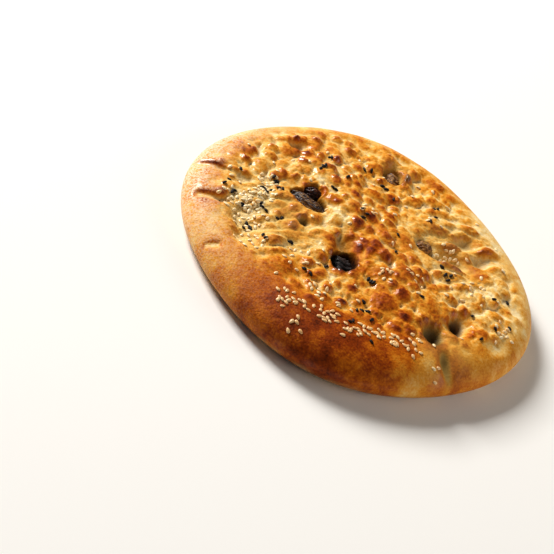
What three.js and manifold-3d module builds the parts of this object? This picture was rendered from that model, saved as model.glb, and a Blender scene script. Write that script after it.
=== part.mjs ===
// Keema naan: one round, leavened flatbread with a thick smooth rim, a blistered middle, and a few
// dark pieces of its filling that show through openings in the crust.
//
// Units are millimetres and +Z is up. The bread lies on its flat base with the baked side up, and
// the origin is on the base, in the middle of the bread's box.

import * as THREE from "three";
import { mergeVertices } from "three/addons/utils/BufferGeometryUtils.js";
import Module from "manifold-3d";

// ---- Driving dimensions, in mm and degrees ----

// The outline, seen from above: a circle pulled out by hand into a few soft lobes.
const MEAN_RADIUS = 98;
const LOBES = [
  { count: 2, swell: 2, towards: 0 },
  { count: 3, swell: 0.5, towards: 0 },
  { count: 4, swell: 2, towards: 7 },
];

// The rim, in section: a quarter ellipse above the waist and another below it.
const CREST_HEIGHT = 21;
const WAIST_HEIGHT = 8;
const SHOULDER_REACH = 24;
const FOOT_REACH = 8;

// The smooth band along the edge is widest at the front and a little wider at the back right.
const SMOOTH_BAND = 13;
const FRONT_BAND = { extra: 20, towards: -82, spread: 44 };
const BACK_RIGHT_BAND = { extra: 4, towards: 50, spread: 32 };
const BAND_FADE = 17;

// Inside the band the crust sinks, and a broad fold of dough crosses it from back left to front right.
const MIDDLE_SINK = 3;
const FOLD = { x: -3, y: 1, length: 66, width: 18, turn: -40, height: 5 };

// Blisters that the steam raised between the baker's fingertips: spacing and height of each size.
const LARGE_BUBBLES = { spacing: 14, height: 2.2, salt: 11 };
const SMALL_BUBBLES = { spacing: 8, height: 2.6, salt: 37 };
const BUBBLE_JITTER = 0.8;
const BUBBLE_RADIUS = { least: 0.52, spread: 0.24 };
const BUBBLE_RISE = { least: 0.3, spread: 0.7 };
const BUBBLE_ROUNDING = 1.05;

// Smooth patches that push the blisters a little aside, so that none is a true circle.
const WANDER = { size: 5, reach: 0.7, salt: 61 };

// Two stretches where the dough was dragged, so that its blisters run together into higher ridges.
const DRAG_RISE = 1.3;
const DRAGGED = [
  { x: -46, y: -27, reach: 27, turn: 44, stretch: 2.2 },
  { x: 46, y: 32, reach: 30, turn: 30, stretch: 2.2 },
];

// The largest blisters: x, y, radius, height.
const BLISTER_ROUNDING = 0.8;
const BLISTERS = [
  [-31, 25, 5, 3.3],
  [-40, 24.5, 5, 3],
  [-47.5, 22.5, 4.5, 2.6],
  [-53, 16, 4.5, 2.6],
  [-57.5, 11, 4.5, 2.9],
  [-60, 17.5, 4.5, 2.6],
  [-69.5, 9.5, 6, 3],
  [-64, 32, 6.5, 2.9],
  [-52.5, 35, 5, 2.8],
  [-18, 22.5, 5, 2.9],
  [-24, 9, 5, 2.9],
  [-16, 12, 6.5, 3.2],
  [-10, 1, 5.5, 3.1],
  [-4, 14, 5.5, 2.8],
  [-9, 37, 5.5, 2.9],
  [-1, 43, 5, 2.8],
  [11.5, 51.5, 5, 2.8],
  [-25, 50, 5, 2.8],
  [-20.5, 34.5, 5, 2.9],
  [4, 25, 5.5, 2.8],
  [-16, 60, 6.5, 3.4],
  [-13, 74, 8, 3],
  [18, 13, 7, 2.8],
  [7.5, 4.5, 6, 3.2],
  [5, -8, 6, 3.2],
  [5, -13.5, 4.5, 2.8],
  [26, -15, 8, 3.3],
  [17, -25, 6, 2.8],
  [29.5, -32, 6, 3],
  [23, -43, 9.5, 3.9],
  [35, -45, 5.5, 2.8],
  [45, -27.5, 11, 3.2],
  [63, 0, 5, 2.7],
  [-12, -46.5, 6, 3.2],
  [5, -45, 4.5, 3],
  [4.5, -58, 4.5, 3],
  [-30, -56, 9.5, 3.5],
  [-41.5, -11, 7, 3.3],
  [-30, -10, 5.5, 3],
  [-54, -3, 4, 2.6],
  [-36.5, -24, 6, 3.2],
  [-47.5, -21.5, 4, 2.8],
  [-45.5, -33, 5, 3],
  [-17, -34, 5.2, 3.6],
  [-18, -20, 5.5, 2.7],
];

// Openings in the crust, with steep walls: x, y, half-length, half-width, turn, depth.
// The first two make one opening together.
const OPENING_WALL = 0.4;
const OPENINGS = [
  [-37.4, 1.4, 12, 7, -6, 3.2],
  [-37.8, 9.8, 5.6, 5, 0, 2.8],
  [-4.6, -27.4, 7.2, 9.8, 0, 7.5],
  [-5.5, 63, 7, 8.5, 0, 4],
];

// Fingertip dents, with soft edges, in the same order.
const DENTS = [
  [-7, -17, 10, 10, 0, 3.4],
  [-5.5, 68, 9, 10, 0, 2.5],
  [28.5, 21, 8, 8, 0, 2.5],
  [63, -25, 9, 11, 20, 5],
  [53, -43, 9, 9, 0, 4.5],
  [66, -56, 11, 4.5, -45, 2.2],
  [-33.5, -17, 4.5, 4, 0, 2.2],
  [-59, 40, 8, 7, 0, 3.4],
  [87, -22, 11, 7, 60, 2],
  [48, 41, 12, 8, 35, 3],
  [59, 33, 10, 8, 20, 3],
  [44, 21, 22, 9, 12, 4.2],
  [86, 12, 14, 6, -20, 2],
  [10, 70, 9, 12, -10, 1.8],
];

// How much of the bubbles a large blister swallows, and the depth of a hollow that has none.
const BLISTER_COVER = 0.85;
const NO_RELIEF_DEPTH = 5;

// Creases pressed into the crust: from x, y to x, y, half-width on the left and on the right, depth.
const CREASE_FADE = 0.25;
const CREASES = [
  [-104, -12, -64, -6, 1.5, 6, 2.4],
  [-91, -36, -70, -31, 2.2, 4, 3.2],
  [-70, -65.5, -60.5, -62.5, 1.5, 2.6, 1.8],
  [-50, -58, -74, -20, 5, 9, 3.6],
  [60, -50, 80, -70, 4.5, 4.5, 2.2],
];

// Pieces of the filling: plan place, length, width, height, turn and height of the middle.
const PIECE_GAP = 0.35;
const PIECES = [
  { name: "filling_upper", x: -37.8, y: 11.2, z: 17.4, size: [12.5, 7.8, 9], turn: 20, salt: 3 },
  { name: "filling_lower", x: -37.4, y: 1, z: 16.6, size: [24, 11.6, 9], turn: -5, salt: 7 },
  { name: "filling_pit", x: -4.6, y: -26.6, z: 13.4, size: [13.5, 15.5, 8.5], turn: 30, salt: 13 },
  { name: "filling_back", x: -4.5, y: 62.5, z: 16.4, size: [7.5, 11, 6], turn: 20, salt: 19 },
  { name: "filling_small", x: 28.5, y: 21, z: 17.6, size: [8.5, 8, 5.5], turn: 0, salt: 23 },
];
const PIECE_WRINKLE = 0.09;
const LONG_WRINKLE = { x: 2, y: 5 };
const CROSS_WRINKLE = { x: 7, z: 4, share: 0.6 };

// Seeds, as length, width and thickness, and the share of the thickness that sinks into the crust.
const SESAME = [3.1, 1.9, 1.4];
const NIGELLA = [3.1, 1.8, 1.6];
const SEED_SINK = 0.4;

// In a pinch, each seed lies this many degrees further round than the one before, and is nudged
// aside by up to this share of the mean distance between neighbours.
const SEED_SPIRAL = 137.5;
const SEED_SCATTER = 0.9;

// Pinches of seeds dropped from the fingers: x, y, spread, count. Of the nigella every seed is made,
// and of the sesame one in five.
const NIGELLA_SALT = 41;
const SESAME_SALT = 53;
const NIGELLA_EVERY = 1;
const SESAME_EVERY = 5;
const NIGELLA_PINCHES = [
  [-76, -5, 1, 1],
  [-78.6, -14.2, 1, 1],
  [-79.5, -23, 1, 1],
  [-73, -24.4, 1.5, 2],
  [-64.3, -28.5, 1.5, 2],
  [-59.7, -10, 2, 3],
  [-57.5, 3, 2, 3],
  [-53, -2, 1.5, 2],
  [-56.3, -7.3, 1, 1],
  [-55, -22, 2.2, 3],
  [-44, -24, 1.5, 2],
  [-55.5, -40, 2.6, 4],
  [-46, -45, 1.5, 2],
  [-33, -37.3, 1.5, 2],
  [-29.5, 17.5, 1.4, 2],
  [-41.5, 28.5, 2, 3],
  [-40, 44, 2, 2],
  [-59.3, 36.7, 1, 1],
  [-26.7, 33, 1, 1],
  [-9, 10, 2.5, 3],
  [-11, -39, 1, 1],
  [-18, -50, 2, 2],
  [12.5, -33, 2, 3],
  [16.5, -5, 1, 1],
  [13, -51, 1, 1],
  [17.5, -55, 1.5, 2],
  [13, -59, 1, 1],
  [22, -59, 1, 1],
  [14.7, -67.4, 1.5, 2],
  [27.6, -73.4, 1, 1],
  [12, 12, 1, 1],
  [42, 9.6, 1, 1],
  [47.7, 4, 2, 3],
  [75.3, 6.8, 1, 1],
  [81.3, 16.4, 1, 1],
  [67, -12.6, 1, 1],
  [81.3, -12.6, 1, 1],
  [76.3, -26.8, 1, 1],
  [40, -26, 1, 1],
  [88, -6, 1, 1],
  [24, 55, 1.5, 2],
  [25.6, 46, 1, 1],
  [24.5, 38.6, 1, 1],
  [1.7, 40.4, 1, 1],
  [-6.5, 49, 1.5, 2],
  [-19, 54, 3, 2],
];
const SESAME_PINCHES = [
  [-61, -2, 6, 18],
  [-58, -12, 6, 20],
  [-62, -22, 8, 24],
  [-70, -28, 8, 22],
  [-57, -32, 8, 18],
  [-50, -50, 9, 14],
  [-20, -77, 6, 13],
  [-12, -75, 4, 6],
  [-8, -60, 5, 9],
  [2, -73, 6, 14],
  [7, -62, 5, 4],
  [15, -74, 5, 9],
  [-9, -88, 4, 5],
  [21, -68, 4, 8],
  [29, -65, 4, 9],
  [37, -63, 4, 9],
  [46, -62, 5, 8],
  [46, -55, 4, 4],
  [63, -64, 3, 3],
  [43, 22, 7, 22],
  [17, -25, 5, 8],
  [33, -13, 7, 6],
  [85, -11, 7, 9],
  [-24, -46, 9, 10],
  [62, 7, 13, 14],
  [-4, 58, 5, 6],
  [-7, 16, 5, 5],
  [0, 0, 80, 36],
  [28, 40, 34, 12],
  [-62, -5, 26, 12],
];

// How finely the crust is divided.
const MIDDLE_RINGS = 22;
const SHOULDER_RINGS = 6;
const FOOT_RINGS = 3;
const RING_SECTORS = 6;
const PIECE_DETAIL = 2;
const SEED_SIDES = 5;

// The numbers that scramble a lattice cell into a repeatable random draw.
const SCRAMBLE = { i: 127.1, j: 311.7, salt: 74.7, spread: 43758.5453 };

const DOWN = new THREE.Vector3(0, 0, -1);
const DEGREE = Math.PI / 180;
const FULL_TURN = 2 * Math.PI;

// ---- Small helpers ----

// A repeatable random number from 0 to 1 for one cell of a lattice.
function drawAt(i, j, salt) {
  const phase = i * SCRAMBLE.i + j * SCRAMBLE.j + salt * SCRAMBLE.salt;
  const wave = Math.sin(phase) * SCRAMBLE.spread;
  return wave - Math.floor(wave);
}

// 0 below low, 1 above high, and a smooth step between them.
function smoothStep(low, high, value) {
  const t = Math.min(1, Math.max(0, (value - low) / (high - low)));
  return t * t * (3 - 2 * t);
}

// Smooth random patches of about one size, from -1 to 1: draws at the corners, blended between.
function mottle(x, y, size, salt) {
  const i = Math.floor(x / size);
  const j = Math.floor(y / size);
  const s = smoothStep(0, 1, x / size - i);
  const t = smoothStep(0, 1, y / size - j);
  const near = drawAt(i, j, salt) * (1 - s) + drawAt(i + 1, j, salt) * s;
  const far = drawAt(i, j + 1, salt) * (1 - s) + drawAt(i + 1, j + 1, salt) * s;
  return 2 * (near * (1 - t) + far * t) - 1;
}

// A bell over angles: 1 in the direction towards, and fading over spread degrees.
function bellTowards(angle, towards, spread) {
  const away = Math.atan2(Math.sin(angle - towards * DEGREE), Math.cos(angle - towards * DEGREE));
  return Math.exp(-((away / (spread * DEGREE)) ** 2));
}

// The place of a plan point in axes that are centred on (x, y) and turned.
function turned(px, py, x, y, turn) {
  const c = Math.cos(turn * DEGREE);
  const s = Math.sin(turn * DEGREE);
  return [(px - x) * c + (py - y) * s, (py - y) * c - (px - x) * s];
}

// ---- The crust's form ----

// The outline's radius in a direction.
function outlineRadius(angle) {
  let radius = MEAN_RADIUS;
  for (const lobe of LOBES) {
    radius += lobe.swell * Math.cos(lobe.count * (angle - lobe.towards * DEGREE));
  }
  return radius;
}

// How far a plan point is inside the outline, along its own direction from the middle.
function insideBy(x, y) {
  return outlineRadius(Math.atan2(y, x)) - Math.hypot(x, y);
}

// 0 on the smooth band along the edge and 1 in the blistered middle.
function blistering(x, y) {
  const angle = Math.atan2(y, x);
  const front = FRONT_BAND.extra * bellTowards(angle, FRONT_BAND.towards, FRONT_BAND.spread);
  const back = BACK_RIGHT_BAND.extra
    * bellTowards(angle, BACK_RIGHT_BAND.towards, BACK_RIGHT_BAND.spread);
  const band = SMOOTH_BAND + front + back;
  return smoothStep(band - BAND_FADE / 2, band + BAND_FADE / 2, insideBy(x, y));
}

// A plan point pushed a little aside by smooth patches.
function wandered(x, y) {
  const aside = WANDER.reach * mottle(x, y, WANDER.size, WANDER.salt);
  const ahead = WANDER.reach * mottle(x, y, WANDER.size, WANDER.salt + 1);
  return [x + aside, y + ahead];
}

// Domes, one to each cell of a lattice and shifted off its middle. Where two of them meet, the higher
// one shows, with a crease between them.
function bubbles(u, v, kind) {
  const column = Math.floor(u / kind.spacing);
  const row = Math.floor(v / kind.spacing);
  let top = 0;
  for (let i = column - 1; i <= column + 1; i += 1) {
    for (let j = row - 1; j <= row + 1; j += 1) {
      const shiftU = BUBBLE_JITTER * (drawAt(i, j, kind.salt) - 0.5);
      const shiftV = BUBBLE_JITTER * (drawAt(i, j, kind.salt + 1) - 0.5);
      const awayU = u / kind.spacing - i - 0.5 - shiftU;
      const awayV = v / kind.spacing - j - 0.5 - shiftV;
      const radius = BUBBLE_RADIUS.least + BUBBLE_RADIUS.spread * drawAt(i, j, kind.salt + 2);
      const rise = BUBBLE_RISE.least + BUBBLE_RISE.spread * drawAt(i, j, kind.salt + 3);
      const inside = Math.max(0, 1 - (awayU ** 2 + awayV ** 2) / radius ** 2);
      top = Math.max(top, kind.height * rise * inside ** BUBBLE_ROUNDING);
    }
  }
  return top;
}

// Both sizes of bubble together.
function allBubbles(u, v) {
  return bubbles(u, v, LARGE_BUBBLES) + bubbles(u, v, SMALL_BUBBLES);
}

// The bubbles, run together into ridges where the dough was dragged.
function bubbleRelief(x, y) {
  let relief = allBubbles(x, y);
  for (const drag of DRAGGED) {
    const [along, across] = turned(x, y, drag.x, drag.y, drag.turn);
    const share = Math.exp(-((Math.hypot(along, across) / drag.reach) ** 4));
    relief += share * (DRAG_RISE * allBubbles(along / drag.stretch, across) - relief);
  }
  return relief;
}

// The largest blisters, joined in the same way.
function blisterRelief(x, y) {
  let top = 0;
  for (const [cx, cy, radius, height] of BLISTERS) {
    const inside = Math.max(0, 1 - (Math.hypot(x - cx, y - cy) / radius) ** 2);
    top = Math.max(top, height * inside ** BLISTER_ROUNDING);
  }
  return top;
}

// How far inside an oval a plan point is: 1 at its middle and 0 from its edge outwards.
function insideOval(x, y, [cx, cy, halfLength, halfWidth, turn]) {
  const [along, across] = turned(x, y, cx, cy, turn);
  return Math.max(0, 1 - (along / halfLength) ** 2 - (across / halfWidth) ** 2);
}

// What the openings and dents take away.
function hollowDepth(x, y) {
  let depth = 0;
  for (const opening of OPENINGS) {
    depth += opening[5] * smoothStep(0, OPENING_WALL, insideOval(x, y, opening));
  }
  for (const dent of DENTS) {
    depth += dent[5] * insideOval(x, y, dent) ** 2;
  }
  return depth;
}

// What the creases take away: steep on the left of each one's line, softer on its right, and faded
// at its ends.
function creaseDepth(x, y) {
  let depth = 0;
  for (const [fromX, fromY, toX, toY, left, right, deep] of CREASES) {
    const length = Math.hypot(toX - fromX, toY - fromY);
    const runX = (toX - fromX) / length;
    const runY = (toY - fromY) / length;
    const along = ((x - fromX) * runX + (y - fromY) * runY) / length;
    const across = (x - fromX) * runY - (y - fromY) * runX;
    const faded = smoothStep(0, CREASE_FADE, along) * smoothStep(1, 1 - CREASE_FADE, along);
    const width = across > 0 ? right : left;
    depth += deep * faded * Math.exp(-((across / width) ** 2));
  }
  return depth;
}

// The broad fold across the middle.
function foldRise(x, y) {
  const [along, across] = turned(x, y, FOLD.x, FOLD.y, FOLD.turn);
  return FOLD.height * Math.exp(-((along / FOLD.length) ** 4) - (across / FOLD.width) ** 2);
}

// How far blisters and bubbles lift the crust.
function raisedSkin(x, y) {
  const [u, v] = wandered(x, y);
  const blisters = blisterRelief(u, v);
  const bubblesShare = 1 - BLISTER_COVER * Math.min(1, blisters / LARGE_BUBBLES.height);
  return blisters + bubblesShare * bubbleRelief(u, v);
}

// The crust's height above the base at a plan point inside the outline.
function crustHeight(x, y) {
  const hollow = hollowDepth(x, y);
  const raised = raisedSkin(x, y) * (1 - smoothStep(0, NO_RELIEF_DEPTH, hollow));
  const level = CREST_HEIGHT - hollow - creaseDepth(x, y)
    + blistering(x, y) * (raised + foldRise(x, y) - MIDDLE_SINK);
  const out = Math.min(1, Math.max(0, 1 - insideBy(x, y) / SHOULDER_REACH));
  return WAIST_HEIGHT + (level - WAIST_HEIGHT) * Math.sqrt(1 - out * out);
}

// ---- Meshes ----

// The bread's closed surface, as rings of points from the middle of the top, over the rim, to the
// foot, and one point in the middle of the base. Ring n has 6n points, so all faces are alike.
function crustGeometry() {
  const points = [0, 0, crustHeight(0, 0)];
  const faces = [];
  const topRings = MIDDLE_RINGS + SHOULDER_RINGS;
  for (let ring = 1; ring <= topRings; ring += 1) {
    const count = RING_SECTORS * ring;
    const turn = Math.max(0, ring - MIDDLE_RINGS) / SHOULDER_RINGS * Math.PI / 2;
    for (let k = 0; k < count; k += 1) {
      const angle = FULL_TURN * k / count;
      const flat = outlineRadius(angle) - SHOULDER_REACH;
      const radius = Math.min(1, ring / MIDDLE_RINGS) * flat + SHOULDER_REACH * Math.sin(turn);
      const x = radius * Math.cos(angle);
      const y = radius * Math.sin(angle);
      points.push(x, y, ring === topRings ? WAIST_HEIGHT : crustHeight(x, y));
    }
    joinRings(faces, ring);
  }
  const around = RING_SECTORS * topRings;
  let start = points.length / 3 - around;
  for (let ring = 1; ring <= FOOT_RINGS; ring += 1) {
    const turn = ring / FOOT_RINGS * Math.PI / 2;
    for (let k = 0; k < around; k += 1) {
      const angle = FULL_TURN * k / around;
      const radius = outlineRadius(angle) - FOOT_REACH * (1 - Math.cos(turn));
      const z = ring === FOOT_RINGS ? 0 : WAIST_HEIGHT * (1 - Math.sin(turn));
      points.push(radius * Math.cos(angle), radius * Math.sin(angle), z);
      const next = (k + 1) % around;
      faces.push(start + k, start + around + k, start + next);
      faces.push(start + next, start + around + k, start + around + next);
    }
    start += around;
  }
  const middle = points.length / 3;
  points.push(0, 0, 0);
  for (let k = 0; k < around; k += 1) {
    faces.push(start + k, middle, start + (k + 1) % around);
  }
  return indexedGeometry(points, faces);
}

// The faces between ring n - 1 and ring n of the top, sector by sector.
function joinRings(faces, ring) {
  const inner = ring > 1 ? 1 + RING_SECTORS * (ring - 1) * (ring - 2) / 2 : 0;
  const outer = 1 + RING_SECTORS * ring * (ring - 1) / 2;
  const innerCount = Math.max(1, RING_SECTORS * (ring - 1));
  const outerCount = RING_SECTORS * ring;
  for (let sector = 0; sector < RING_SECTORS; sector += 1) {
    for (let k = 0; k < ring; k += 1) {
      const a = inner + (sector * (ring - 1) + k) % innerCount;
      const b = outer + sector * ring + k;
      const c = outer + (sector * ring + k + 1) % outerCount;
      faces.push(a, b, c);
      if (k < ring - 1) {
        faces.push(a, c, inner + (sector * (ring - 1) + k + 1) % innerCount);
      }
    }
  }
}

// A geometry of shared points and the faces between them.
function indexedGeometry(points, faces) {
  const geometry = new THREE.BufferGeometry();
  geometry.setAttribute("position", new THREE.Float32BufferAttribute(points, 3));
  geometry.setIndex(faces);
  return geometry;
}

// A geometry with each distinct point held once.
function merged(geometry) {
  geometry.deleteAttribute("normal");
  geometry.deleteAttribute("uv");
  return mergeVertices(geometry);
}

// A piece of filling: a ball squeezed to size, folded by a few long wrinkles, and grown by a margin.
function pieceGeometry(piece, margin) {
  const geometry = merged(new THREE.IcosahedronGeometry(1, PIECE_DETAIL));
  const place = geometry.getAttribute("position");
  const point = new THREE.Vector3();
  for (let n = 0; n < place.count; n += 1) {
    point.fromBufferAttribute(place, n);
    const longPhase = LONG_WRINKLE.y * point.y + LONG_WRINKLE.x * point.x + piece.salt;
    const crossPhase = CROSS_WRINKLE.x * point.x - CROSS_WRINKLE.z * point.z + 2 * piece.salt;
    const folds = Math.sin(longPhase) + CROSS_WRINKLE.share * Math.sin(crossPhase);
    point.multiplyScalar(1 + PIECE_WRINKLE * folds);
    const [length, width, height] = piece.size;
    point.x *= length / 2 + margin;
    point.y *= width / 2 + margin;
    point.z *= height / 2 + margin;
    place.setXYZ(n, point.x, point.y, point.z);
  }
  geometry.rotateZ(piece.turn * DEGREE);
  geometry.translate(piece.x, piece.y, piece.z);
  return geometry;
}

// One seed lying on the crust: a pointed five-sided form, flat on the face below it.
function seedGeometry(size, x, y, spin, crustMesh) {
  const above = new THREE.Vector3(x, y, 2 * CREST_HEIGHT);
  const hit = new THREE.Raycaster(above, DOWN).intersectObject(crustMesh)[0];
  const geometry = merged(new THREE.SphereGeometry(1, SEED_SIDES, 2));
  geometry.rotateX(Math.PI / 2);
  geometry.scale(size[0] / 2, size[1] / 2, size[2] / 2);
  geometry.rotateZ(spin);
  const up = DOWN.clone().negate();
  geometry.applyQuaternion(new THREE.Quaternion().setFromUnitVectors(up, hit.face.normal));
  const lift = hit.face.normal.clone().multiplyScalar(size[2] * (0.5 - SEED_SINK));
  geometry.translate(hit.point.x + lift.x, hit.point.y + lift.y, hit.point.z + lift.z);
  return geometry;
}

// The seeds of one kind, on a spiral round the middle of each pinch, with one in every few made.
function seedGeometries(pinches, size, salt, every, crustMesh) {
  const seeds = [];
  pinches.forEach(([x, y, spread, count], pinch) => {
    const nudge = SEED_SCATTER * spread / Math.sqrt(count);
    const start = FULL_TURN * drawAt(pinch, 0, salt);
    for (let k = 0; k < count; k += every) {
      const angle = start + SEED_SPIRAL * DEGREE * k;
      const away = spread * Math.sqrt((k + 0.5) / count);
      const spin = FULL_TURN * drawAt(pinch, k, salt + 2);
      const seedX = x + away * Math.cos(angle) + nudge * (2 * drawAt(pinch, k, salt + 1) - 1);
      const seedY = y + away * Math.sin(angle) + nudge * (2 * drawAt(pinch, k, salt + 3) - 1);
      seeds.push(seedGeometry(size, seedX, seedY, spin, crustMesh));
    }
  });
  return seeds;
}

// ---- Joining and cutting ----

const wasm = await Module();
wasm.setup();

// A closed geometry as a solid.
function solidOf(geometry) {
  const vertProperties = new Float32Array(geometry.getAttribute("position").array);
  const triVerts = new Uint32Array(geometry.getIndex().array);
  return new wasm.Manifold(new wasm.Mesh({ numProp: 3, vertProperties, triVerts }));
}

// The largest shell of a solid: loose scraps are dropped, and hollows that got sealed are filled.
function largestShell(solid) {
  const shells = solid.decompose();
  return shells.reduce((largest, shell) => (shell.volume() > largest.volume() ? shell : largest));
}

// A solid as a geometry again.
function geometryOf(solid) {
  const mesh = solid.getMesh();
  return indexedGeometry(Array.from(mesh.vertProperties), Array.from(mesh.triVerts));
}

// ---- The model ----

const crustMaterial = new THREE.MeshStandardMaterial({ color: 0xcf8f3c, roughness: 0.55, metalness: 0 });
const pieceMaterial = new THREE.MeshStandardMaterial({ color: 0x2c1410, roughness: 0.25, metalness: 0 });

// The crust with its seeds fused on, and a pocket cut round each piece of filling.
function breadMesh() {
  const bareCrust = crustGeometry();
  const crustMesh = new THREE.Mesh(bareCrust, crustMaterial);
  crustMesh.updateMatrixWorld();
  let bread = solidOf(bareCrust);
  const seeds = [
    ...seedGeometries(NIGELLA_PINCHES, NIGELLA, NIGELLA_SALT, NIGELLA_EVERY, crustMesh),
    ...seedGeometries(SESAME_PINCHES, SESAME, SESAME_SALT, SESAME_EVERY, crustMesh),
  ];
  for (const seed of seeds) {
    bread = bread.add(solidOf(seed));
  }
  for (const piece of PIECES) {
    bread = bread.subtract(solidOf(pieceGeometry(piece, PIECE_GAP)));
  }
  const mesh = new THREE.Mesh(geometryOf(largestShell(bread)), crustMaterial);
  mesh.name = "bread";
  return mesh;
}

// One piece of filling, in its pocket.
function pieceMesh(piece) {
  const mesh = new THREE.Mesh(pieceGeometry(piece, 0), pieceMaterial);
  mesh.name = piece.name;
  return mesh;
}

// The shift that puts the origin in the middle of the outline's box.
function middleOfOutline() {
  const box = new THREE.Box2();
  const around = RING_SECTORS * (MIDDLE_RINGS + SHOULDER_RINGS);
  for (let k = 0; k < around; k += 1) {
    const angle = FULL_TURN * k / around;
    const radius = outlineRadius(angle);
    box.expandByPoint(new THREE.Vector2(radius * Math.cos(angle), radius * Math.sin(angle)));
  }
  return box.getCenter(new THREE.Vector2());
}

const keemaNaan = new THREE.Group();
keemaNaan.name = "keema_naan";
keemaNaan.add(breadMesh());
for (const piece of PIECES) {
  keemaNaan.add(pieceMesh(piece));
}
const middle = middleOfOutline();
keemaNaan.position.set(-middle.x, -middle.y, 0);

export default keemaNaan;
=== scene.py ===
# %% [markdown]
# # A keema naan
# This lesson builds one leavened flatbread, about 200 mm across. It has a thick, smooth, browned rim,
# a middle full of steam blisters, dark pieces of its filling in a few openings, and sesame and
# nigella seeds that were pressed on before it was baked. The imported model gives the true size, and
# every piece made here stands where a piece of that model stands.

# %% Load the frame
import math

import bpy
import numpy as np
from mathutils import Matrix, Vector


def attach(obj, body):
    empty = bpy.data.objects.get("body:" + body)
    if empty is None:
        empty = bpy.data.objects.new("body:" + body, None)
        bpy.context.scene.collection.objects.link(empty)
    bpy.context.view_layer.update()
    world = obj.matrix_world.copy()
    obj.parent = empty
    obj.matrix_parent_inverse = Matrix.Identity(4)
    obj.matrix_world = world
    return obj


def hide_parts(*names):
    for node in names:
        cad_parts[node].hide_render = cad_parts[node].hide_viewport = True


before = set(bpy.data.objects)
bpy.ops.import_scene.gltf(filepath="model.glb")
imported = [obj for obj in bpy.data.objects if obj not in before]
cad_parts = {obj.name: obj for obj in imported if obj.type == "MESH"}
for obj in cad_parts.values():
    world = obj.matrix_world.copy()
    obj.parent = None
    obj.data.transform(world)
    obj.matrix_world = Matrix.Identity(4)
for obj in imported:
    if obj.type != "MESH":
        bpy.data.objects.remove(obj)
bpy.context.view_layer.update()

# %% [markdown]
# ## Working units
# A baker thinks in millimetres, so the shape functions below do too. Blender works in metres, so each
# finished mesh is scaled once, when its points go in. Angles are given in degrees.

# %% Units and small helpers
MM = 0.001
DEGREE = math.pi / 180
FULL_TURN = 2 * math.pi


def smooth_step(low, high, value):
    """0 below low, 1 above high, and three t squared minus two t cubed in between."""
    t = np.clip((value - low) / (high - low), 0, 1)
    return t * t * (3 - 2 * t)


def turned(px, py, x, y, turn):
    """Plan points in axes centred on (x, y) and turned: the along and the across distance."""
    c, s = math.cos(turn * DEGREE), math.sin(turn * DEGREE)
    return (px - x) * c + (py - y) * s, (py - y) * c - (px - x) * s


def draw_at(i, j, salt):
    """A repeatable random number from 0 to 1 for a lattice cell: the fraction of a large sine."""
    wave = np.sin(i * 127.1 + j * 311.7 + salt * 74.7) * 43758.5453
    return wave - np.floor(wave)


def mottle(u, v, size, salt):
    """Smooth random patches of about that size, from -1 to 1: corner draws blended by smooth steps."""
    i, j = np.floor(u / size), np.floor(v / size)
    s, t = smooth_step(0, 1, u / size - i), smooth_step(0, 1, v / size - j)
    near = draw_at(i, j, salt) * (1 - s) + draw_at(i + 1, j, salt) * s
    far = draw_at(i, j + 1, salt) * (1 - s) + draw_at(i + 1, j + 1, salt) * s
    return 2 * (near * (1 - t) + far * t) - 1


print("one lattice cell draws", round(float(draw_at(3, 4, 11)), 3))

# %% [markdown]
# ## The outline
# The dough was pulled round by hand, so the outline is a circle with a few soft lobes. A polar
# formula is the shortest honest description: the radius is a mean plus cosines of the angle.

# %% The outline and the edge
MEAN_RADIUS = 98
LOBES = [(2, 2, 0), (3, 0.5, 0), (4, 2, 7)]  # count, swell, towards
CREST_HEIGHT = 21
WAIST_HEIGHT = 8
SHOULDER_REACH = 24
FOOT_REACH = 8


def outline_radius(angle):
    """The mean radius plus, for each lobe, its swell times the cosine of its count of turns."""
    radius = MEAN_RADIUS
    for count, swell, towards in LOBES:
        radius = radius + swell * np.cos(count * (angle - towards * DEGREE))
    return radius


def inside_by(x, y):
    """How far a plan point is inside the outline, along its own direction from the middle."""
    return outline_radius(np.arctan2(y, x)) - np.hypot(x, y)


around = np.linspace(0, FULL_TURN, 180, endpoint=False)
edge_x, edge_y = outline_radius(around) * np.cos(around), outline_radius(around) * np.sin(around)
MIDDLE_X = (edge_x.min() + edge_x.max()) / 2
MIDDLE_Y = (edge_y.min() + edge_y.max()) / 2
print("outline box in mm:", round(np.ptp(edge_x), 1), "by", round(np.ptp(edge_y), 1))

# %% [markdown]
# ## The smooth band and the blistered middle
# The baker presses fingertips into the middle and leaves a plain band along the edge. That band is
# widest at the front. Everything rough is faded in by this one mask, so that the rim stays smooth.

# %% Where the crust is blistered
SMOOTH_BAND = 13
BAND_FADE = 17
WIDER_BANDS = [(20, -82, 44), (4, 50, 32)]  # extra, towards, spread
MIDDLE_SINK = 3
FOLD = dict(x=-3, y=1, length=66, width=18, turn=-40, height=5)


def bell_towards(angle, towards, spread):
    """1 in one direction, falling off as the exponential of minus the angle over the spread squared."""
    away = np.arctan2(np.sin(angle - towards * DEGREE), np.cos(angle - towards * DEGREE))
    return np.exp(-((away / (spread * DEGREE)) ** 2))


def blistering(x, y):
    """0 on the smooth band and 1 in the middle: a smooth step of the distance from the edge."""
    band = SMOOTH_BAND + sum(e * bell_towards(np.arctan2(y, x), t, s) for e, t, s in WIDER_BANDS)
    from_band = inside_by(x, y) - band
    return smooth_step(-BAND_FADE / 2, BAND_FADE / 2, from_band)


def fold_share(x, y):
    """The broad fold across the middle: a flat-ended bell along it and a plain bell across it."""
    along, across = turned(x, y, FOLD["x"], FOLD["y"], FOLD["turn"])
    return np.exp(-((along / FOLD["length"]) ** 4) - (across / FOLD["width"]) ** 2)


print("blistering 20 mm in from the left edge:", round(float(blistering(-82.0, 0.0)), 2))

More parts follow.
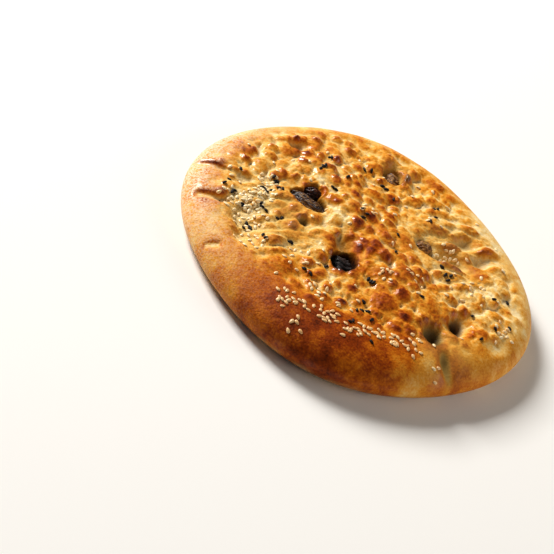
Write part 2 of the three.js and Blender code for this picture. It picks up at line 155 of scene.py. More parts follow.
# %% [markdown]
# ## Blisters
# Steam lifts the skin between the fingertip dents into domes of a few sizes, and where two domes meet
# the skin is pinched into a sharp crease. So the highest dome wins instead of adding up. A jittered
# lattice gives the crowd, and a list places the largest. The plan under them wanders aside a little, so
# that no dome is a true circle. Two stretches were dragged with the flat of the hand, and there the
# lattice's domes are stretched into ridges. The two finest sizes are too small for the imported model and
# are added here.

# %% Bubbles and blisters
LARGE_BUBBLES = dict(spacing=14, height=2.2, salt=11)
SMALL_BUBBLES = dict(spacing=8, height=2.6, salt=37)
FINE_BUBBLES = dict(spacing=4, height=0.8, salt=71)
CRINKLES = dict(spacing=2, height=0.5, salt=83)
BUBBLE_JITTER = 0.8
BUBBLE_RADIUS = (0.52, 0.24)  # least and spread, in spacings
BUBBLE_RISE = (0.3, 0.7)  # least and spread, in heights
BUBBLE_ROUNDING = 1.05
WANDER = dict(size=5, reach=0.7, salt=61)
DRAG_RISE = 1.3
DRAGGED = [(-46, -27, 27, 44, 2.2), (46, 32, 30, 30, 2.2)]  # x, y, reach, turn, stretch
BLISTER_ROUNDING = 0.8
BLISTERS = [  # x, y, radius, height, and how brown its top is
    (-31, 25, 5, 3.3, 0.95),
    (-40, 24.5, 5, 3, 0.35),
    (-47.5, 22.5, 4.5, 2.6, 0.5),
    (-53, 16, 4.5, 2.6, 0.2),
    (-57.5, 11, 4.5, 2.9, 0.85),
    (-60, 17.5, 4.5, 2.6, 0.1),
    (-69.5, 9.5, 6, 3, 0.3),
    (-64, 32, 6.5, 2.9, 0.35),
    (-52.5, 35, 5, 2.8, 0.75),
    (-18, 22.5, 5, 2.9, 0.95),
    (-24, 9, 5, 2.9, 0.75),
    (-16, 12, 6.5, 3.2, 0.2),
    (-10, 1, 5.5, 3.1, 1),
    (-4, 14, 5.5, 2.8, 0.85),
    (-9, 37, 5.5, 2.9, 0.95),
    (-1, 43, 5, 2.8, 0.85),
    (11.5, 51.5, 5, 2.8, 0.75),
    (-25, 50, 5, 2.8, 0.85),
    (-20.5, 34.5, 5, 2.9, 0.9),
    (4, 25, 5.5, 2.8, 0.85),
    (-16, 60, 6.5, 3.4, 0.15),
    (-13, 74, 8, 3, 0.5),
    (18, 13, 7, 2.8, 0.4),
    (7.5, 4.5, 6, 3.2, 0.65),
    (5, -8, 6, 3.2, 0.6),
    (5, -13.5, 4.5, 2.8, 1),
    (26, -15, 8, 3.3, 0.75),
    (17, -25, 6, 2.8, 0.75),
    (29.5, -32, 6, 3, 1),
    (23, -43, 9.5, 3.9, 0.65),
    (35, -45, 5.5, 2.8, 0.9),
    (45, -27.5, 11, 3.2, 0.6),
    (63, 0, 5, 2.7, 0.15),
    (-12, -46.5, 6, 3.2, 0.5),
    (5, -45, 4.5, 3, 0.75),
    (4.5, -58, 4.5, 3, 0.85),
    (-30, -56, 9.5, 3.5, 0.5),
    (-41.5, -11, 7, 3.3, 0.35),
    (-30, -10, 5.5, 3, 0.1),
    (-54, -3, 4, 2.6, 0.85),
    (-36.5, -24, 6, 3.2, 0.5),
    (-47.5, -21.5, 4, 2.8, 0.6),
    (-45.5, -33, 5, 3, 0.3),
    (-17, -34, 5.2, 3.6, 0),
    (-18, -20, 5.5, 2.7, 0.7),
]
print(len(BLISTERS), "large blisters, and bubbles every", LARGE_BUBBLES["spacing"], "mm")


# %% How domes rise, drag and wander
def bubbles(u, v, kind):
    """Domes on a jittered lattice: the highest wins, each its height times a power of one minus q."""
    size, salt = kind["spacing"], kind["salt"]
    column, row = np.floor(u / size), np.floor(v / size)
    top = np.zeros_like(u)
    for i in (column - 1, column, column + 1):
        for j in (row - 1, row, row + 1):
            shift_u = BUBBLE_JITTER * (draw_at(i, j, salt) - 0.5)
            shift_v = BUBBLE_JITTER * (draw_at(i, j, salt + 1) - 0.5)
            away = np.hypot(u / size - i - 0.5 - shift_u, v / size - j - 0.5 - shift_v)
            radius = BUBBLE_RADIUS[0] + BUBBLE_RADIUS[1] * draw_at(i, j, salt + 2)
            rise = BUBBLE_RISE[0] + BUBBLE_RISE[1] * draw_at(i, j, salt + 3)
            inside = np.maximum(0, 1 - (away / radius) ** 2)
            top = np.maximum(top, kind["height"] * rise * inside**BUBBLE_ROUNDING)
    return top


def dragged_bubbles(x, y, kinds):
    """The bubbles of some kinds, replaced by stretched ones inside each dragged stretch."""
    relief = sum(bubbles(x, y, kind) for kind in kinds)
    for cx, cy, reach, turn, stretch in DRAGGED:
        along, across = turned(x, y, cx, cy, turn)
        share = np.exp(-((np.hypot(along, across) / reach) ** 4))
        drawn_out = sum(bubbles(along / stretch, across, kind) for kind in kinds)
        relief = relief + share * (DRAG_RISE * drawn_out - relief)
    return relief


def blister_relief(x, y):
    """The largest blisters: the highest dome wins, each a rounded power of one minus q."""
    top = np.zeros_like(x)
    for cx, cy, radius, height, _ in BLISTERS:
        inside = np.maximum(0, 1 - (np.hypot(x - cx, y - cy) / radius) ** 2)
        top = np.maximum(top, height * inside**BLISTER_ROUNDING)
    return top


def wandered(x, y):
    """Plan points pushed a little aside by smooth patches, so that no dome is a true circle."""
    size, reach, salt = WANDER["size"], WANDER["reach"], WANDER["salt"]
    return x + reach * mottle(x, y, size, salt), y + reach * mottle(x, y, size, salt + 1)


print("the first blister lifts its top by", blister_relief(np.array([-31]), np.array([25]))[0], "mm")

# %% [markdown]
# ## Openings, dents and creases
# In three places the crust tore and the filling shows, and the tear on the left is two ovals that
# overlap. Fingertips left softer dents, and one of them bares a small piece of filling. The edge has a
# few pressed creases, most of them steeper on one side. All are subtracted, so they may overlap freely.
# Where the crust goes in, a dark painted shade or a softer one is noted too, for its colour.

# %% Openings, dents and creases
OPENING_WALL = 0.4
OPENINGS = [  # x, y, half-length, half-width, turn, depth
    (-37.4, 1.4, 12, 7, -6, 3.2),
    (-37.8, 9.8, 5.6, 5, 0, 2.8),
    (-4.6, -27.4, 7.2, 9.8, 0, 7.5),
    (-5.5, 63, 7, 8.5, 0, 4),
]
DENTS = [  # as the openings
    (-7, -17, 10, 10, 0, 3.4),
    (-5.5, 68, 9, 10, 0, 2.5),
    (28.5, 21, 8, 8, 0, 2.5),
    (63, -25, 9, 11, 20, 5),
    (53, -43, 9, 9, 0, 4.5),
    (66, -56, 11, 4.5, -45, 2.2),
    (-33.5, -17, 4.5, 4, 0, 2.2),
    (-59, 40, 8, 7, 0, 3.4),
    (87, -22, 11, 7, 60, 2),
    (48, 41, 12, 8, 35, 3),
    (59, 33, 10, 8, 20, 3),
    (44, 21, 22, 9, 12, 4.2),
    (86, 12, 14, 6, -20, 2),
    (10, 70, 9, 12, -10, 1.8),
]
CREASES = [  # from x, y to x, y, half-width on the left and on the right, depth
    (-104, -12, -64, -6, 1.5, 6, 2.4),
    (-91, -36, -70, -31, 2.2, 4, 3.2),
    (-70, -65.5, -60.5, -62.5, 1.5, 2.6, 1.8),
    (-50, -58, -74, -20, 5, 9, 3.6),
    (60, -50, 80, -70, 4.5, 4.5, 2.2),
]
CREASE_FADE = 0.25
OPENING_SHADES = [  # x, y, half-length, half-width, turn, and how dark the painted shade is, deep in the opening
    (-37.4, 1.8, 11.6, 6.4, -6, 1),
    (-37.8, 9, 5.2, 4.2, 0, 1),
    (-4.6, -28, 7.8, 10.8, 0, 1),
    (-4.5, 62, 6, 7, 0, 0.5),
    (28.5, 21, 5.5, 5.5, 0, 0.5),
]
SHADES = [  # softer painted shade, at the bottom of the dents
    (-33.5, -17, 3.6, 3.2, 0, 0.75),
    (61.5, -27.5, 5.4, 10.5, 0, 1),
    (53.5, -44, 8, 10, 20, 0.85),
    (66, -56, 9, 4, -45, 0.5),
]
print(len(OPENINGS), "openings,", len(DENTS), "dents and", len(CREASES), "creases")


# %% How deep they go
def inside_oval(x, y, oval):
    """One minus the squares of along and across over the half-sizes, and 0 outside the oval."""
    along, across = turned(x, y, oval[0], oval[1], oval[4])
    return np.maximum(0, 1 - (along / oval[2]) ** 2 - (across / oval[3]) ** 2)


def opening_depth(x, y):
    """Openings have steep walls, from a smooth step over a short way in."""
    return sum(o[5] * smooth_step(0, OPENING_WALL, inside_oval(x, y, o)) for o in OPENINGS)


def dent_depth(x, y):
    """Dents have soft walls, from the square of how far a point is inside."""
    return sum(d[5] * inside_oval(x, y, d) ** 2 for d in DENTS)


def crease_depth(x, y):
    """A bell across each crease's line, with its own width on either side, faded at its ends."""
    depth = np.zeros_like(x)
    for x0, y0, x1, y1, left, right, deep in CREASES:
        length = math.hypot(x1 - x0, y1 - y0)
        run_x, run_y = (x1 - x0) / length, (y1 - y0) / length
        along = ((x - x0) * run_x + (y - y0) * run_y) / length
        across = (x - x0) * run_y - (y - y0) * run_x
        faded = smooth_step(0, CREASE_FADE, along) * smooth_step(1, 1 - CREASE_FADE, along)
        depth += deep * faded * np.exp(-((across / np.where(across > 0, right, left)) ** 2))
    return depth


print("the deep pit goes in by", opening_depth(np.array([-4.6]), np.array([-27.4]))[0], "mm")

# %% [markdown]
# ## The crust as a height
# The top of the bread is a height over the plan. Towards the edge it rolls down to the waist along a
# quarter ellipse, whose factor is the square root of one minus the square of the way out. A faint
# grain and slow waves keep the smooth band from looking turned on a lathe.

# %% The crust's height and its raised part
BLISTER_COVER = 0.85  # how much of the bubbles a large blister smooths away
FINE_COVER = 0.5
NO_RELIEF_DEPTH = 5  # mm pressed in, past which nothing is raised
SKIN = dict(size=1.6, height=0.07, salt=91)
WAVES = dict(size=17, height=0.5, salt=97)


def raised_skin(x, y, fine=True):
    """How far blisters and bubbles lift the crust above its level, in mm."""
    u, v = wandered(x, y)
    blisters = blister_relief(u, v)
    cover = np.minimum(1, blisters / LARGE_BUBBLES["height"])
    crowd = dragged_bubbles(u, v, [LARGE_BUBBLES, SMALL_BUBBLES])
    lifted = blisters + (1 - BLISTER_COVER * cover) * crowd
    if fine:
        lifted = lifted + (1 - FINE_COVER * cover) * dragged_bubbles(u, v, [FINE_BUBBLES])
        lifted = lifted + bubbles(u, v, CRINKLES)
    hollow = opening_depth(x, y) + dent_depth(x, y)
    return lifted * (1 - smooth_step(0, NO_RELIEF_DEPTH, hollow)) * blistering(x, y)


def crust_height(x, y):
    """The crest, less what is pressed in, plus what is raised, all rolled down at the shoulder."""
    level = CREST_HEIGHT - opening_depth(x, y) - dent_depth(x, y) - crease_depth(x, y)
    level = level + raised_skin(x, y)
    level = level + blistering(x, y) * (FOLD["height"] * fold_share(x, y) - MIDDLE_SINK)
    level = level + SKIN["height"] * mottle(x, y, SKIN["size"], SKIN["salt"])
    level = level + WAVES["height"] * mottle(x, y, WAVES["size"], WAVES["salt"])
    out = np.clip(1 - inside_by(x, y) / SHOULDER_REACH, 0, 1)
    return WAIST_HEIGHT + (level - WAIST_HEIGHT) * np.sqrt(1 - out * out)


print("height at the middle in mm:", round(float(crust_height(np.zeros(1), np.zeros(1))[0]), 2))

# %% [markdown]
# ## The crust's mesh
# A square grid would waste points and leave a stepped edge, and a polar grid would pinch in the
# middle. Rings in which ring n holds 6n points give even triangles everywhere, and both the points
# and the faces can be worked out as whole arrays. The rings pack closer round the shoulder, then
# go on round the waist to the foot, and one point closes the flat base.

# %% Helpers that make a mesh
def new_piece(name, points, faces, values=None):
    """Makes an object from points in mm and index rows of 3 or 4, with named point attributes."""
    mesh = bpy.data.meshes.new(name)
    faces = np.asarray(faces, np.int32)
    mesh.vertices.add(len(points))
    place = (np.asarray(points, float) - [MIDDLE_X, MIDDLE_Y, 0]) * MM
    mesh.vertices.foreach_set("co", place.astype(np.float32).ravel())
    mesh.loops.add(faces.size)
    mesh.loops.foreach_set("vertex_index", faces.ravel())
    mesh.polygons.add(len(faces))
    mesh.polygons.foreach_set("loop_start", np.arange(0, faces.size, faces.shape[1], dtype=np.int32))
    mesh.polygons.foreach_set("use_smooth", np.ones(len(faces), bool))
    mesh.update(calc_edges=True)
    mesh.validate()
    for key, value in (values or {}).items():
        made = mesh.attributes.new(key, "FLOAT", "POINT")
        made.data.foreach_set("value", np.asarray(value, np.float32))
    piece = bpy.data.objects.new(name, mesh)
    bpy.context.scene.collection.objects.link(piece)
    return piece


print("middle of the outline box in mm:", round(MIDDLE_X, 2), round(MIDDLE_Y, 2))

# %% Rings from the middle to the shoulder
MIDDLE_RINGS = 112
SHOULDER_RINGS = 46
RIM_RINGS = 14
SECTORS = 6


def top_rings():
    """Each point's ring and its place in that ring, from the middle out, without the middle itself."""
    ring = np.repeat(np.arange(1, MIDDLE_RINGS + SHOULDER_RINGS + 1),
                     SECTORS * np.arange(1, MIDDLE_RINGS + SHOULDER_RINGS + 1))
    place = np.arange(len(ring)) - SECTORS * ring * (ring - 1) // 2
    return ring, place


def top_faces(ring, place):
    """Each outer point makes one face with the ring inside, and all but one per sector a second."""
    sector, step = place // ring, place % ring
    outer = 1 + SECTORS * ring * (ring - 1) // 2
    inner = np.where(ring > 1, 1 + SECTORS * (ring - 1) * (ring - 2) // 2, 0)
    inner_count = np.maximum(1, SECTORS * (ring - 1))
    a = inner + (sector * (ring - 1) + step) % inner_count
    b = outer + place
    c = outer + (place + 1) % (SECTORS * ring)
    d = inner + (sector * (ring - 1) + step + 1) % inner_count
    second = step < ring - 1
    return np.vstack([np.column_stack([a, b, c]), np.column_stack([a, c, d])[second]])


ring, place = top_rings()
angle = FULL_TURN * place / (SECTORS * ring)
roll = np.clip((ring - MIDDLE_RINGS) / SHOULDER_RINGS, 0, 1) * math.pi / 2
flat = outline_radius(angle) - SHOULDER_REACH
reach = np.minimum(1, ring / MIDDLE_RINGS) * flat + SHOULDER_REACH * np.sin(roll)
top_x = np.concatenate([[0], reach * np.cos(angle)])
top_y = np.concatenate([[0], reach * np.sin(angle)])
top_z = crust_height(top_x, top_y)
print("top of the crust:", len(top_x), "points")

# %% Rings from the waist to the foot, and the base
rim_count = SECTORS * (MIDDLE_RINGS + SHOULDER_RINGS)
rim_angle = FULL_TURN * np.arange(rim_count) / rim_count
tuck = (np.arange(1, RIM_RINGS + 1) / RIM_RINGS * math.pi / 2)[:, None]
tuck_radius = outline_radius(rim_angle)[None, :] - FOOT_REACH * (1 - np.cos(tuck))
rim_x = (tuck_radius * np.cos(rim_angle)).ravel()
rim_y = (tuck_radius * np.sin(rim_angle)).ravel()
rim_z = (WAIST_HEIGHT * (1 - np.sin(tuck)) * np.ones(rim_count)).ravel()
rows = len(top_x) - rim_count + rim_count * np.arange(RIM_RINGS)[:, None]
here = rows + np.arange(rim_count)
ahead = rows + (np.arange(rim_count) + 1) % rim_count
upper = np.stack([here, here + rim_count, ahead], -1).reshape(-1, 3)
lower = np.stack([ahead, here + rim_count, ahead + rim_count], -1).reshape(-1, 3)
base = len(top_x) + len(rim_x)
foot = base - rim_count + np.arange(rim_count)
base_faces = np.column_stack([foot, np.full(rim_count, base), np.roll(foot, -1)])
crust_points = np.column_stack([
    np.concatenate([top_x, rim_x, [0]]),
    np.concatenate([top_y, rim_y, [0]]),
    np.concatenate([top_z, rim_z, [0]]),
])
crust_faces = np.vstack([top_faces(ring, place), upper, lower, base_faces])
print("crust:", len(crust_points), "points,", len(crust_faces), "faces")

# %% [markdown]
# ## How brown the crust is
# Radiant heat browns what stands highest. So browning is worked out from the shape: the relief at a
# spot is compared with the rings of crust round it. The side of a blister that falls away from the
# light, towards the front right, is a little darker, and so are the steep sides of the creases: both
# are painted shade. The front of the rim is the brownest band, the largest blisters each have their
# own share of brown, and a list adds the warm and the pale places that no formula knows, a few of
# them painted light. All of it is stored on the mesh, so that it follows the surface from every side.

# %% How far a spot stands up, and which way it falls
RING_REACHES = (1.8, 4.5)
RING_STOPS = 6
# Blister sides that fall this way, in degrees, get painted shade: away from the light, towards the front
# right.
SHADED_SIDE = -60
SHADE_SLOPE_STEP = 1.2
SCARP_DROPS = (0.8, 2.2)  # mm of depth over 2 mm, where a crease's side starts to count and is steep


def pressed_skin(x, y):
    """The raised skin less the dents and the creases: the crust's relief without its broad form."""
    return raised_skin(x, y) - dent_depth(x, y) - crease_depth(x, y)


def stands_above(x, y):
    """The relief at a point less its mean over small circles round the point, in mm."""
    level = 0
    for reach in RING_REACHES:
        for turn in FULL_TURN * np.arange(RING_STOPS) / RING_STOPS + reach:
            level = level + pressed_skin(x + reach * math.cos(turn), y + reach * math.sin(turn))
    return pressed_skin(x, y) - level / (len(RING_REACHES) * RING_STOPS)


def shaded_side_slope(x, y):
    """How steeply the skin falls towards the side away from the light, over a short way; that side gets
    painted shade.
    """
    step_x, step_y = SHADE_SLOPE_STEP * math.cos(SHADED_SIDE * DEGREE), SHADE_SLOPE_STEP * math.sin(SHADED_SIDE * DEGREE)
    fall = raised_skin(x - step_x, y - step_y, False) - raised_skin(x + step_x, y + step_y, False)
    return np.clip(fall / (2 * SHADE_SLOPE_STEP), -1, 1)


def scarp(x, y):
    """The steep side of a crease, from how much its depth changes over 2 mm, 0 to 1."""
    drop_x = crease_depth(x + 1, y) - crease_depth(x - 1, y)
    drop_y = crease_depth(x, y + 1) - crease_depth(x, y - 1)
    return smooth_step(*SCARP_DROPS, np.hypot(drop_x, drop_y))


crust_x, crust_y, crust_z = crust_points.T
stands = np.concatenate([stands_above(top_x, top_y), np.zeros(len(rim_x) + 1)])
print("spots stand", round(float(stands.min()), 1), "to", round(float(stands.max()), 1), "mm above")

# %% Browning, with painted light and shade
BASE_BROWNING = 0.335
RISE_BROWNING = 0.27  # for each mm that a spot stands up
CAP_BROWNING = 0.33
CAP_SPREAD = 0.85  # in the blister's radius
CAP_MIDDLE = 0.25  # a cap of this share is as brown as the crust round it
# Painted shade on the steep sides of the creases.
SCARP_PAINTED_SHADE = 0.5
# Painted shade on blister sides that fall away from the light.
SHADED_SIDE_DARKENING = 0.18
WALL_BROWNING = 0.24
WALL_DEPTH = 2
RIM_BROWNING = [(0.47, -90, 36), (0.14, -48, 24), (0.06, 90, 60)]  # added, towards, spread
BROWN_PATCHES = [(9, 0.10, 201), (4, 0.06, 203)]  # mm across, share, salt
BROWNING_AND_PAINTED_LIGHT_PLACES = [  # x, y, radius, browning added; rows marked below are painted light
    (-38, 42, 24, 0.08),
    (4, 2, 30, 0.10),
    (32, -34, 26, 0.20),
    (-28, -56, 18, 0.10),
    (60, -80, 11, -0.34),
    (86, -50, 20, 0.10),
    # Painted light: the rim at the right and back right is made paler, as where it is lit.
    (94, 24, 30, -0.11),
    (66, 68, 26, -0.18),
    (28.5, 21, 8, -0.2),
    (-37.8, 18, 5, -0.35),
    # Painted highlight: the lit left flank of the fold is made paler.
    (-20, -2, 8, -0.2),
    (-4, -13, 8, 0.18),
    (20, 76, 10, 0.16),
    (-58, -25, 24, -0.32),
    (-34, -2, 12, -0.12),
    (60, 21, 6, 0.3),
    (56, -63, 6, -0.25),
    (-43, -14, 10, 0.38),
    (-41, -28, 9, 0.24),
    (-80, -38, 10, 0.2),
    (-84, -14, 7, 0.2),
    (-80, 12, 8, 0.2),
    (60, 6, 34, -0.10),
    (-96, -20, 30, 0.1),
]


def browning_and_painted_light(x, y, stands):
    """A level, plus listed warm, pale and painted-light places and brown blisters, plus how far a spot
    stands up, plus painted shade on slopes away from the light and on crease sides, plus mottling.
    """
    level = BASE_BROWNING + RISE_BROWNING * stands
    for cx, cy, radius, added in BROWNING_AND_PAINTED_LIGHT_PLACES:
        level = level + added * np.exp(-(((x - cx) ** 2 + (y - cy) ** 2) / radius**2))
    u, v = wandered(x, y)
    for cx, cy, radius, _, brown in BLISTERS:
        cap = np.maximum(0, 1 - ((u - cx) ** 2 + (v - cy) ** 2) / (CAP_SPREAD * radius) ** 2)
        level = level + CAP_BROWNING * (brown - CAP_MIDDLE) * cap
    # Painted shade: blister sides that fall away from the light are darker.
    level = level + SHADED_SIDE_DARKENING * shaded_side_slope(x, y)
    rim = 1 - blistering(x, y)
    for added, towards, spread in RIM_BROWNING:
        level = level + added * rim * bell_towards(np.arctan2(y, x), towards, spread)
    # Painted shade on the steep sides of the creases.
    level = level + SCARP_PAINTED_SHADE * rim * scarp(x, y)
    level = level + WALL_BROWNING * smooth_step(0, WALL_DEPTH, opening_depth(x, y))
    for size, share, salt in BROWN_PATCHES:
        level = level + share * mottle(x, y, size, salt)
    return np.clip(level, 0, 1)


paints = {"browning_and_painted_light": browning_and_painted_light(crust_x, crust_y, stands)}
print("mean browning", round(float(paints["browning_and_painted_light"].mean()), 2))

# %% [markdown]
# ## What else colours the crust
# In a few stretches the crust has an olive tint, stronger in the low hollows, where the extra olive is
# painted shade. In the narrow folds between domes elsewhere a darker brown is painted shade. The wash
# shines where it stayed, mostly on what stands up, and the left of the rim gets a pale, stippled
# painted sheen. The openings get a dark painted shade, the deepest dents a softer one, and the
# underside has its own colour. Each is stored as a share at every point of the mesh.

# %% Valleys, pinches and glaze: olive tint, painted shade and the wash's coat
VALLEY_PLACES = [(-50, -22, 26), (40, 26, 22), (62, -48, 16), (-5, 66, 11)]  # x, y, radius
VALLEY_STANDS = (0.4, -1.4)  # mm that a spot stands up, where the painted shade of the hollows starts and is full
VALLEY_LEAST = 0.25
# Painted shade in the narrow folds between domes.
PINCH_SHADE_STANDS = (-0.3, -1.4)  # as the valleys'
PINCH_SHADE_SHARE = 0.65
GLAZE_LEVEL = 0.04
GLAZE_BY_STAND = 0.2  # for each mm that a spot stands up
GLAZE_PATCHES = dict(size=6, share=0.2, salt=211)
GLAZE_END = 1  # mm deep in an opening
GLAZE_PLACES = [  # x, y, radius, glaze added
    (-92, 0, 30, 0.4),
    (-40, 36, 24, 0.4),
    (-16, 4, 26, 0.4),
    (0, -45, 20, 0.35),
    (20, -10, 30, 0.4),
    (-33, 13, 6, -0.7),
    (2, -17, 8, -0.7),
    (7, -25, 7, -0.4),
    (-23, -4, 5, -0.5),
]


def valley_share(x, y, stands):
    """How olive a hollow looks: a tint inside a few stretches, more where it lies low, as painted shade.
    """
    near = sum(np.exp(-(((x - cx) ** 2 + (y - cy) ** 2) / r**2) ** 2) for cx, cy, r in VALLEY_PLACES)
    low = smooth_step(*VALLEY_STANDS, stands)
    return np.clip(near, 0, 1) * (VALLEY_LEAST + (1 - VALLEY_LEAST) * low)


def pinch(x, y, stands, valley):
    """Painted shade in the narrow folds between domes: low spots outside the valleys."""
    return PINCH_SHADE_SHARE * smooth_step(*PINCH_SHADE_STANDS, stands) * blistering(x, y) * (1 - valley)


def glaze(x, y, stands):
    """How much egg wash a spot kept: a level, more on what stands up, patches and a few places."""
    patches = mottle(x, y, GLAZE_PATCHES["size"], GLAZE_PATCHES["salt"])
    kept = GLAZE_LEVEL + GLAZE_BY_STAND * stands + GLAZE_PATCHES["share"] * patches
    for cx, cy, radius, added in GLAZE_PLACES:
        kept = kept + added * np.exp(-(((x - cx) ** 2 + (y - cy) ** 2) / radius**2))
    return np.clip(kept, 0, 1) * (1 - smooth_step(0, GLAZE_END, opening_depth(x, y)))


valley = valley_share(crust_x, crust_y, stands)
paints["valley"] = valley
paints["pinch"] = pinch(crust_x, crust_y, stands, valley)
paints["glaze"] = glaze(crust_x, crust_y, stands)
print("mean glaze", round(float(paints["glaze"].mean()), 2))

# %% Painted sheen, painted shade, and the underside
# The pale painted sheen on the left of the rim, which stands in for the window's reflection.
SHEEN_TOWARDS = (184, 38)  # towards, spread
OPENING_SHADE_EDGE = 0.25
SHADE_EDGE = 0.9


def bloom(x, y):
    """A pale painted sheen on the left of the rim, kept off the steep sides of creases: a bell over the
    angle.
    """
    near = bell_towards(np.arctan2(y, x), *SHEEN_TOWARDS)
    return (1 - blistering(x, y)) * near * (1 - scarp(x, y))


def darkened(x, y, ovals, edge):
    """For each oval its share of painted shade, from a smooth step of how far a point is inside."""
    return sum(o[5] * smooth_step(0, edge, inside_oval(x, y, o)) for o in ovals)


paints["bloom"] = bloom(crust_x, crust_y)
# Painted shade in the openings and, softer, in the dents.
paints["stain"] = darkened(crust_x, crust_y, OPENING_SHADES, OPENING_SHADE_EDGE)
paints["shade"] = darkened(crust_x, crust_y, SHADES, SHADE_EDGE)
paints["under"] = smooth_step(WAIST_HEIGHT, 0, crust_z)
for name, value in paints.items():
    print(name, "from", round(float(value.min()), 2), "to", round(float(value.max()), 2))

# %% The crust piece
crust = new_piece("naan_crust", crust_points, crust_faces, paints)
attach(crust, "root")
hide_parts("bread")
print(crust.name, "carries", len(paints), "paints")

# %% [markdown]
# ## Materials
# Colours are given as sRGB hex values, as a colour picker shows them, and turned to linear ones once.
# One helper adds a node, sets it and links it.

# %% Colour and node helpers
def linear(hex_colour):
    """An sRGB hex colour as linear RGBA: the usual curve, with its straight foot below 0.04045."""
    parts = [int(hex_colour[k:k + 2], 16) / 255 for k in (1, 3, 5)]
    return [p / 12.92 if p <= 0.04045 else ((p + 0.055) / 1.055) ** 2.4 for p in parts] + [1.0]


def add_node(tree, kind, inputs=None, stops=None, **settings):
    """Adds a node, sets its properties and ramp stops, and fills its sockets by value or by link."""
    made = tree.nodes.new(kind)
    for key, value in settings.items():
        setattr(made, key, value)
    for key, value in (inputs or {}).items():
        if isinstance(value, bpy.types.NodeSocket):
            tree.links.new(value, made.inputs[key])
        else:
            made.inputs[key].default_value = value
    if stops:
        elements = made.color_ramp.elements
        while len(elements) < len(stops):
            elements.new(0.5)
        for element, (position, colour) in zip(elements, stops):
            element.position, element.color = position, linear(colour)
    return made


def new_material(name):
    """An empty node material with its output node."""
    material = bpy.data.materials.new(name)
    material.use_nodes = True
    material.node_tree.nodes.clear()
    return material, add_node(material.node_tree, "ShaderNodeOutputMaterial")


print("pale dough in linear light:", [round(part, 2) for part in linear("#F6DEA8")[:3]])

# %% [markdown]
# ### Baked, egg-washed crust
# Wheat dough browns from cream through gold to a red-brown. The wash leaves a thin clear film, so the
# surface has a broad soft sheen from the crust and a sharper one from the film, which a coat gives.
# Wheat starch and dried egg both have an IOR near 1.5, but the crust's own reflection is turned well
# down, because its fine grain scatters it. The other paints are laid over the browning one by one.

# %% The crust's browning with its painted light and shade, and its colour
PER_METRE = 1 / MM
HEAT_PATCHES = [(6, 3.0, 0.5), (1.2, 2.0, 0.4)]  # mm across, detail, share
crust_paint, crust_out = new_material("egg_washed_crust")
tree = crust_paint.node_tree
where = add_node(tree, "ShaderNodeTexCoord").outputs["Object"]
painted = {}
for name in paints:
    painted[name] = add_node(tree, "ShaderNodeAttribute", attribute_name=name).outputs["Fac"]


def with_patches(tree, value, vector, rows):
    """A value plus, for each row, a share of noise less a half, so that it adds and takes alike."""
    for size, detail, share in rows:
        patches = add_node(tree, "ShaderNodeTexNoise",
                           {"Vector": vector, "Scale": PER_METRE / size, "Detail": detail})
        centred = add_node(tree, "ShaderNodeMath", {0: patches.outputs["Fac"], 1: 0.5},
                           operation="SUBTRACT")
        value = add_node(tree, "ShaderNodeMath", {0: centred.outputs[0], 1: share, 2: value},
                         operation="MULTIPLY_ADD").outputs[0]
    return value


heat_and_painted_light = with_patches(tree, painted["browning_and_painted_light"], where, HEAT_PATCHES)
baked_colour_and_painted_light = add_node(tree, "ShaderNodeValToRGB", {"Fac": heat_and_painted_light}, stops=[
    (0.0, "#F6DEA8"),
    (0.2, "#EDBE6A"),
    (0.4, "#DE932A"),
    (0.6, "#C0640B"),
    (0.8, "#8C3604"),
    (1.0, "#4E1802"),
]).outputs["Color"]
print("browned crust has", len(tree.nodes), "nodes")

# %% The painted sheen's stipple and the toasted underside
STIPPLE = dict(size=1.1, detail=2.0, start=0.38, full=0.58)
FLOOR_SIDE = dict(size=14, detail=4.0)
speckle = add_node(tree, "ShaderNodeTexNoise", {
    "Vector": where, "Scale": PER_METRE / STIPPLE["size"], "Detail": STIPPLE["detail"]})
stipple = add_node(tree, "ShaderNodeMapRange", {
    "Value": speckle.outputs["Fac"], "From Min": STIPPLE["start"], "From Max": STIPPLE["full"]})
bloomed = add_node(tree, "ShaderNodeMath", {0: painted["bloom"], 1: stipple.outputs[0]},
                   operation="MULTIPLY").outputs[0]
toasted = add_node(tree, "ShaderNodeTexNoise", {
    "Vector": where, "Scale": PER_METRE / FLOOR_SIDE["size"], "Detail": FLOOR_SIDE["detail"]})
floor_side = add_node(tree, "ShaderNodeValToRGB", {"Fac": toasted.outputs["Fac"]}, stops=[
    (0.35, "#D9B57C"),
    (0.5, "#C08A48"),
    (0.64, "#8A4E1C"),
]).outputs["Color"]
print("patches under the base:", FLOOR_SIDE["size"], "mm across")

# %% The crust's material
GRAIN_PATCHES = [(2.2, 3.0, 0.8), (0.9, 3.0, 1.0)]  # as the heat's
# Laid over in turn: the left rim's painted sheen, painted shade in the folds, the valleys' olive tint and
# painted shade, painted shade in dents and openings, then the underside's own colour.
laid_over = [
    (bloomed, linear("#ECCCAA")),
    (painted["pinch"], linear("#8E4E0C")),
    (painted["valley"], linear("#CBA456")),
    (painted["shade"], linear("#33200A")),
    (painted["stain"], linear("#1E0C04")),
    (painted["under"], floor_side),
]
colour = baked_colour_and_painted_light
for share, over in laid_over:
    colour = add_node(tree, "ShaderNodeMix", {0: share, 6: colour, 7: over}, data_type="RGBA").outputs[2]
grain = with_patches(tree, 0.0, where, GRAIN_PATCHES)
bump = add_node(tree, "ShaderNodeBump", {"Height": grain, "Strength": 0.6, "Distance": 0.5 * MM})
crust_shader = add_node(tree, "ShaderNodeBsdfPrincipled", {
    "Base Color": colour,
    "Roughness": 0.5,
    "IOR": 1.45,
    "Specular IOR Level": 0.08,
    "Normal": bump.outputs["Normal"],
    "Coat Weight": painted["glaze"],
    "Coat Roughness": 0.19,
})
